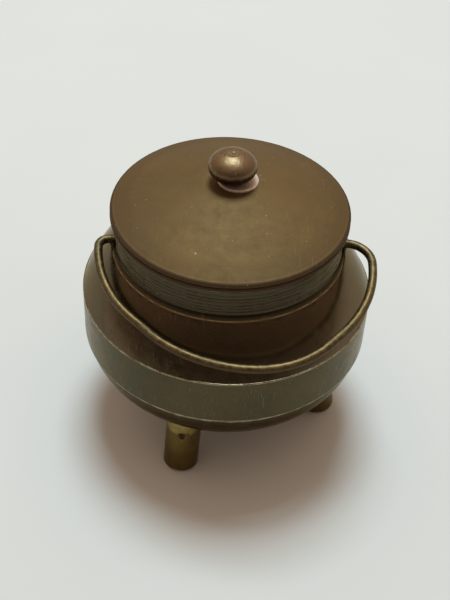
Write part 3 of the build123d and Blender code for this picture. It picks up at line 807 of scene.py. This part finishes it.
# ---------------------------------------------------------------- feet
def along_foot(place, radius, angle, wall=0.0):
    """How far up a line beside a foot's axis the bowl's outside, or its inside, lies."""
    low, high = 0.0, 40.0
    for _ in range(24):
        middle = (low + high) / 2
        spot = place @ Vector((radius * math.cos(angle), radius * math.sin(angle), middle))
        if spot.z > bowl_height(math.hypot(spot.x, spot.y), wall):
            high = middle
        else:
            low = middle
    return low


def foot(side, direction):
    """A peg with a brightened end, a dark line where it meets the bowl and, on the front one, a punch mark.
    """
    place = (Matrix.Rotation(math.radians(direction), 4, "Z") @ Matrix.Translation((FOOT_CIRCLE, 0, 0))
             @ Matrix.Rotation(math.radians(-FOOT_LEAN), 4, "Y"))
    axis = place.to_3x3() @ Vector((0, 0, 1))
    sides, rows = 96, 46
    vertices, wear_and_painted_light = [], []

    def add_ring(radius, heights, worn_and_painted_light):
        """One ring of points, each at its own height along the peg, none below the floor."""
        for index in range(sides):
            angle = 2 * math.pi * index / sides
            spot = place @ Vector((radius * math.cos(angle), radius * math.sin(angle), heights[index]))
            if spot.z < 0:
                spot += axis * (-spot.z / axis.z)
            vertices.append(spot)
            wear_and_painted_light.append(worn_and_painted_light)

    def bowl_heights(radius, sink):
        """For each point of a ring, how far up the peg it meets the bowl, less sink."""
        return [along_foot(place, radius, 2 * math.pi * n / sides) - sink for n in range(sides)]

    for radius in (0.001, 0.7, 1.4, 2.1, 2.7, 3.2, 3.6):
        add_ring(radius, [0.0] * sides, 0.25)
    add_ring(FOOT_RADIUS - 0.5, [0.0] * sides, 0.9)
    add_ring(FOOT_RADIUS - 0.2, [0.22] * sides, 0.9)
    add_ring(FOOT_RADIUS - 0.03, [0.5] * sides, 0.7)
    tops = bowl_heights(FOOT_RADIUS, 0.06)
    for row in range(1, rows):
        share = row / rows
        add_ring(FOOT_RADIUS, [0.6 + (top - 1.0) * share for top in tops], 0.0)
    add_ring(FOOT_RADIUS + 0.02, [top - 0.3 for top in tops], -0.4)
    add_ring(FOOT_RADIUS + 0.22, bowl_heights(FOOT_RADIUS + 0.22, 0.04), -1.0)
    for radius in (FOOT_RADIUS - 0.4, 3.0, 2.02):
        add_ring(radius, bowl_heights(radius, 0.05), 0.0)
    inside = along_foot(place, 0.0, 0.0, SHELL_WALL) + 1.6
    for radius, height in ((2.0, inside), (2.75, inside + 0.02), (2.8, inside + 0.4),
                           (2.5, inside + 0.75), (1.6, inside + 0.85), (0.001, inside + 0.86)):
        add_ring(radius, [height] * sides, 0.3)

    base = place.translation
    mark = base + axis * PUNCH_UP + PUNCH_SIDE * FOOT_RADIUS
    for index, spot in enumerate(vertices):
        along = (spot - base).dot(axis)
        out = spot - base - axis * along
        if out.length < FOOT_RADIUS - 0.1 or spot.z < 0.3 or along > FOOT_MARKED_TO:
            continue
        push = 0.05 * (1 + rippled(spot, 3.0)) / 2 + 0.015 * (1 + rippled((along * 7, 0, out.x), 1.0))
        if side == "front":
            away = (spot - mark).length
            push += PUNCH_DEPTH * math.exp(-(away / PUNCH_SIZE) ** 2)
            if away < PUNCH_DARK:
                wear_and_painted_light[index] = -1.0
        vertices[index] = spot - out.normalized() * push
    mesh = mesh_of("foot_" + side, vertices, tube_faces(len(vertices) // sides, sides), wear_and_painted_light)
    return finished("foot_" + side, mesh, "pot", "foot_brass", FOOT_BRASS, "foot_" + side)


# ---------------------------------------------------------------- bail
def quarter_radii(width, height):
    """The side and crown radii of a quarter turn with a straight run across its corner."""
    rest = 1 - DIAGONAL
    wide = width - DIAGONAL * BAIL_HAUNCH
    tall = height - DIAGONAL * BAIL_HAUNCH
    scale = DIAGONAL ** 2 - rest ** 2
    return (DIAGONAL * tall - rest * wide) / scale, (DIAGONAL * wide - rest * tall) / scale


def swept(centre, radius, start, end, pitch):
    """Points round an arc from start to end, in degrees, about pitch apart."""
    steps = max(2, round(abs(math.radians(end - start)) * radius / pitch))
    turns = [math.radians(start + (end - start) * step / steps) for step in range(steps + 1)]
    return [(centre[0] + radius * math.cos(t), centre[1] + radius * math.sin(t)) for t in turns]


def bail_side(sign, widest, bend):
    """One half of the bail, from its end in the neck to its crown: (out, along) in its own plane."""
    pitch = 0.35
    offset = sign * BAIL_CROWN_OFFSET
    side, top = quarter_radii(widest - offset, BAIL_REACH - bend)
    centre = widest - side
    points = [(BAIL_END, 0.0)] + divided((BAIL_END, 0.0), (widest - bend, 0.0), pitch)
    points += swept((widest - bend, bend), bend, -90, 0, pitch)
    arc = swept((centre, bend), side, 0, 45, pitch)
    crown = swept((offset, BAIL_REACH - top), top, 45, 90, pitch)
    points += arc[1:] + divided(arc[-1], crown[0], pitch) + crown
    return [(sign * out, along) for out, along in points]


def bail_line():
    """The folded bail's centre line, a little uneven, as wire bent by hand."""
    flat = bail_side(-1, BAIL_LEFT, BAIL_LEFT_BEND)
    flat += list(reversed(bail_side(1, BAIL_RIGHT, BAIL_RIGHT_BEND)))[1:]
    fold = math.radians(BAIL_FOLD)
    line = []
    for out, along in flat:
        free = min(1.0, along / 6.0)
        along += free * 0.14 * rippled((out, along, 3.0), 9.0)
        lift = free * 0.08 * (1 + rippled((out, along, 11.0), 8.0))
        line.append(Vector((out, -along * math.cos(fold) - lift * math.sin(fold),
                            PIVOT_HEIGHT - along * math.sin(fold) + lift * math.cos(fold))))
    return line


def bail():
    """The wire itself, with a painted highlight along its upper side, and small nicks."""
    line = bail_line()
    sides = 28
    end_shares = (0.02, 0.5, 0.8, 0.95)
    vertices, wear_and_painted_light = [], []
    tangents = [(line[min(n + 1, len(line) - 1)] - line[max(n - 1, 0)]).normalized()
                for n in range(len(line))]
    up = Vector((0, -math.sin(math.radians(BAIL_FOLD)), math.cos(math.radians(BAIL_FOLD))))

    def add_ring(centre, tangent, radius):
        """One ring of points round the wire."""
        across = tangent.cross(up).normalized()
        rise = across.cross(tangent).normalized()
        for index in range(sides):
            angle = 2 * math.pi * index / sides
            out = across * math.cos(angle) + rise * math.sin(angle)
            spot = centre + out * radius
            inside = abs(centre.x) < ROOT_RADIUS + 1.2 and abs(centre.y) < 1.6
            dent = 0.0 if inside else 0.05 * max(0.0, rippled(spot, 1.1)) + 0.02 * rippled(spot, 3.5)
            vertices.append(spot - out * max(0.0, dent))
            # Painted highlight on the side that faces halfway between the key light and the camera.
            wear_and_painted_light.append(max(0.0, out.dot(Vector((0.0, -0.25, 0.97))) - 0.25) * 1.3)

    first, last = line[0], line[-1]
    for share in end_shares:
        add_ring(first + tangents[0] * 0.35 * (1 - share), tangents[0], WIRE_RADIUS * share)
    for centre, tangent in zip(line[2:-2], tangents[2:-2]):
        add_ring(centre, tangent, WIRE_RADIUS)
    for share in reversed(end_shares):
        add_ring(last - tangents[-1] * 0.35 * (1 - share), tangents[-1], WIRE_RADIUS * share)
    rings = len(vertices) // sides
    faces = tube_faces(rings, sides)
    faces.append(tuple(range(sides)))
    faces.append(tuple((rings - 1) * sides + index for index in range(sides)))
    mesh = mesh_of("bail", vertices, faces, wear_and_painted_light)
    return finished("bail", mesh, "bail", "wire_brass", WIRE_BRASS, "bail")


# ---------------------------------------------------------------- build
neck_shoulder()
belly_band()
lower_bowl()
lid_plate()
lid_locating_ring()
knob()
knob_collar()
knob_rivet()
knob_burr()
for foot_side, foot_direction in FOOT_DIRECTIONS.items():
    foot(foot_side, foot_direction)
    burr = frame["nodes"]["foot_burr_" + foot_side]
    if not burr.material_slots:
        burr.data.materials.append(None)
    burr.material_slots[0].link = "OBJECT"
    burr.material_slots[0].material = FOOT_BRASS
bail()


# ---------------------------------------------------------------- floor, light and camera
# The floor and the key light are placed in metres, the camera in mm.
FLOOR_TONE = (0.80, 0.80, 0.79)
FLOOR_OTHER = (0.78, 0.785, 0.775)
FLOOR_HALF = 1.6
WORLD_BRIGHT_SIDE = (0.0, 0.6, 0.8)
WORLD_FROM, WORLD_TO = -0.55, 0.9
WORLD_DARK = (0.06, 0.040, 0.026)
WORLD_LIGHT = (1.07, 0.80, 0.60)
WORLD_STRENGTH = 0.55
KEY_PLACE = (0.0, 0.46, 1.6)
KEY_AIM = (0.0, 0.0, 0.04)
KEY_SIZE = 0.62
KEY_POWER = 16.5
KEY_COLOUR = (0.82, 1.05, 1.13)
CAMERA_PLACE = (-12.2, -232.1, 252.8)
CAMERA_FORWARD = (0.038, 0.734, -0.678)
CAMERA_ROLL = 3.05
CAMERA_LENS = 66.4


def floor():
    """A plain pale floor, its tone very slightly uneven."""
    material = bpy.data.materials.new("floor_pale")
    material.use_nodes = True
    tree = material.node_tree
    surface = tree.nodes["Principled BSDF"]
    where = add(tree, "ShaderNodeTexCoord").outputs["Object"]
    tone = between(tree, noise_node(tree, where, 9.0, 3.0), 0.3, 0.7)
    put(tree, surface.inputs["Base Color"], mixed(tree, tone, FLOOR_TONE, FLOOR_OTHER))
    surface.inputs["Roughness"].default_value = 0.85
    surface.inputs["Specular IOR Level"].default_value = 0.2
    low, half = CAD_BOX[0][2], FLOOR_HALF
    mesh = bpy.data.meshes.new("floor")
    mesh.from_pydata([(-half, -half, low), (half, -half, low), (half, half, low), (-half, half, low)],
                     [], [(0, 1, 2, 3)])
    mesh.materials.append(material)
    plane = bpy.data.objects.new("floor", mesh)
    bpy.context.scene.collection.objects.link(plane)


def area_light(name, place, aim, size, power, colour):
    """A round soft box that faces a point."""
    light = bpy.data.lights.new(name, "AREA")
    light.shape = "DISK"
    light.size = size
    light.energy = power
    light.color = colour
    lamp = bpy.data.objects.new(name, light)
    lamp.location = place
    lamp.rotation_euler = (Vector(place) - Vector(aim)).to_track_quat("Z", "Y").to_euler()
    bpy.context.scene.collection.objects.link(lamp)


def world():
    """A soft surround: bright above and behind, dim low in front."""
    made = bpy.data.worlds.new("studio")
    bpy.context.scene.world = made
    made.use_nodes = True
    tree = made.node_tree
    tree.nodes.clear()
    where = add(tree, "ShaderNodeTexCoord").outputs["Generated"]
    dot = add(tree, "ShaderNodeVectorMath", operation="DOT_PRODUCT")
    put(tree, dot.inputs[0], where)
    dot.inputs[1].default_value = Vector(WORLD_BRIGHT_SIDE).normalized()
    share = between(tree, dot.outputs["Value"], WORLD_FROM, WORLD_TO)
    colour = mixed(tree, share, WORLD_DARK, WORLD_LIGHT)
    background = add(tree, "ShaderNodeBackground")
    put(tree, background.inputs[0], colour)
    background.inputs[1].default_value = WORLD_STRENGTH
    output = add(tree, "ShaderNodeOutputWorld")
    tree.links.new(background.outputs[0], output.inputs[0])


def camera():
    """The camera, looking along CAMERA_FORWARD and rolled a little about it."""
    lens = bpy.data.cameras.new("camera")
    lens.sensor_width = 36.0
    lens.sensor_height = 36.0
    lens.sensor_fit = "AUTO"
    lens.lens = CAMERA_LENS
    lens.clip_start = 0.01
    lens.clip_end = 20.0
    eye = bpy.data.objects.new("camera", lens)
    forward = Vector(CAMERA_FORWARD).normalized()
    right = forward.cross(Vector((0, 0, 1))).normalized()
    up = right.cross(forward)
    roll = math.radians(CAMERA_ROLL)
    rolled_right = right * math.cos(roll) + up * math.sin(roll)
    rolled_up = up * math.cos(roll) - right * math.sin(roll)
    turn = Matrix((rolled_right, rolled_up, -forward)).transposed().to_4x4()
    eye.matrix_world = Matrix.Translation(Vector(CAMERA_PLACE) * MM) @ turn
    bpy.context.scene.collection.objects.link(eye)
    bpy.context.scene.camera = eye


floor()
area_light("key", KEY_PLACE, KEY_AIM, KEY_SIZE, KEY_POWER, KEY_COLOUR)
world()
camera()
bpy.context.scene.view_settings.view_transform = "Standard"
bpy.context.scene.view_settings.look = "None"
